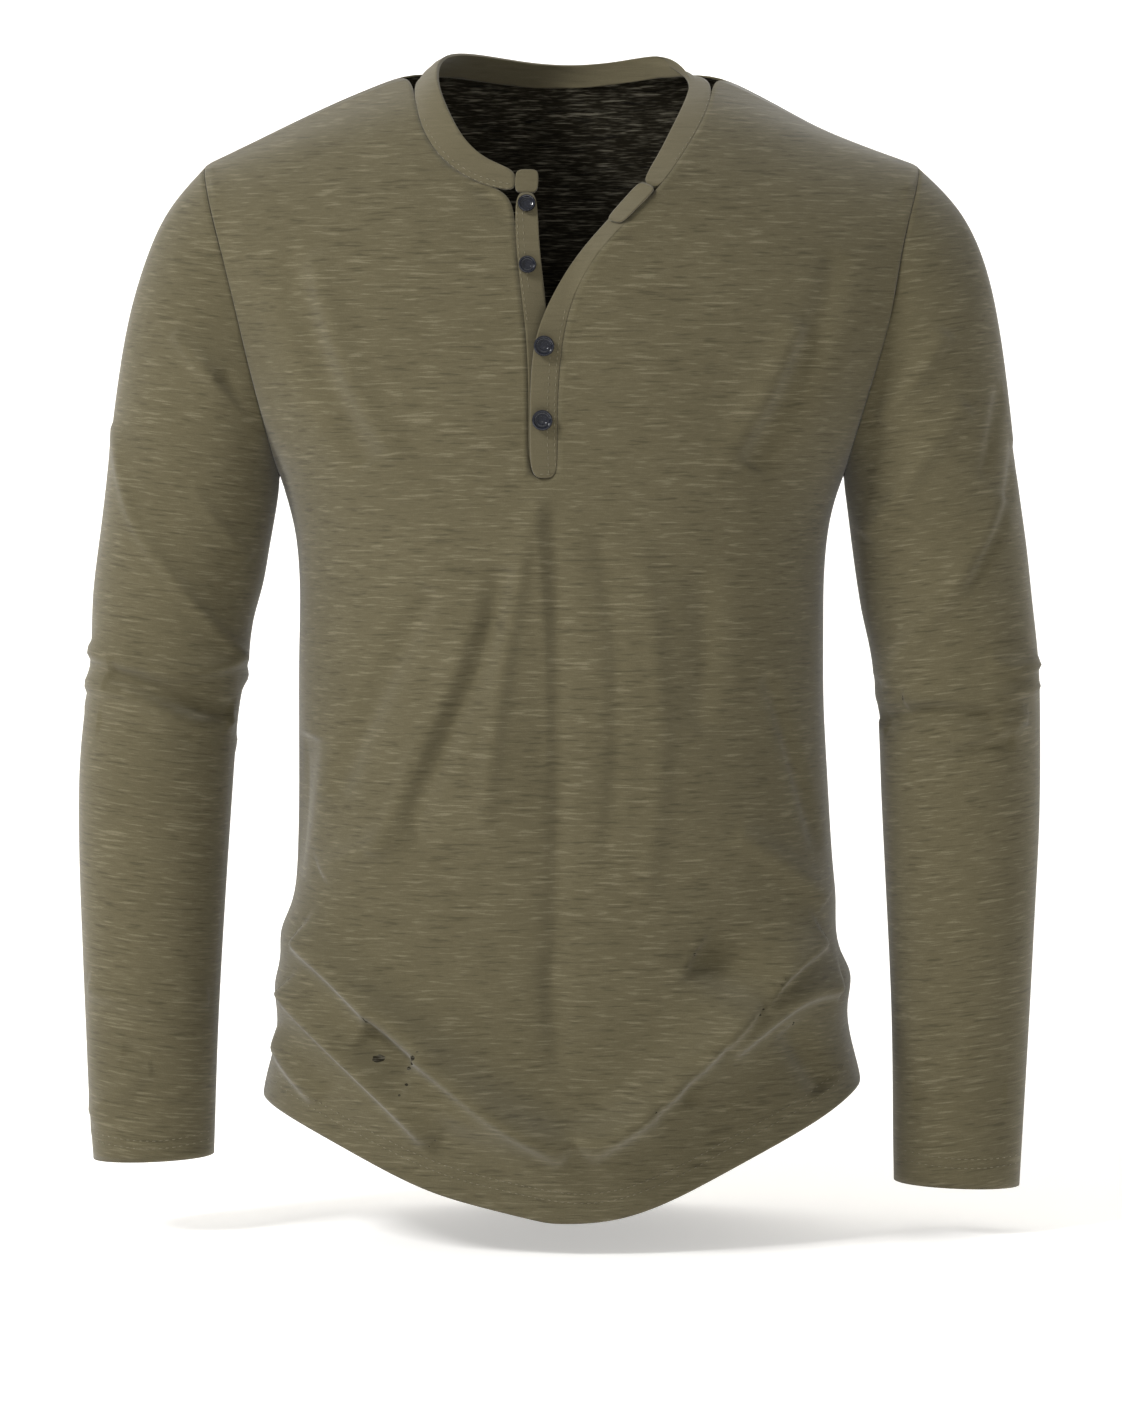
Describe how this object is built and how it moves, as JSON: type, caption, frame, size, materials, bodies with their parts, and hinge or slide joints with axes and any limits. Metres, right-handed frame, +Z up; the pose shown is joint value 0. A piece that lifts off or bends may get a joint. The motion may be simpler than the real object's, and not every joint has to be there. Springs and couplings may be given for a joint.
{
  "type": "henley shirt",
  "caption": "Long-sleeved henley shirt in slub jersey, worn shape with no wearer: button placket, standing band, curved hem, hollow body and sleeves.",
  "frame": {"origin": "midway between the two neck points, where the shoulder seams meet the neck band, in the plane of the side seams; the wearer holds it there", "axes": "+X towards the wearer's left, -Y the front, +Z up"},
  "size_m": [0.6151, 0.2476, 0.7326],
  "materials": {
    "jersey": "matt olive slub jersey",
    "band_cloth": "matt fine olive jersey",
    "button_resin": "polished dark navy resin"
  },
  "bodies": {
    "root": {"front": "jersey", "back": "jersey", "sleeve_right": "jersey", "sleeve_left": "jersey", "neck_band": "band_cloth", "button_placket": "band_cloth", "buttonhole_placket": "band_cloth", "neck_tab_right": "band_cloth", "neck_tab_left": "band_cloth", "button_1": "button_resin", "button_2": "button_resin", "button_3": "button_resin", "button_4": "button_resin"}
  },
  "joints": []
}
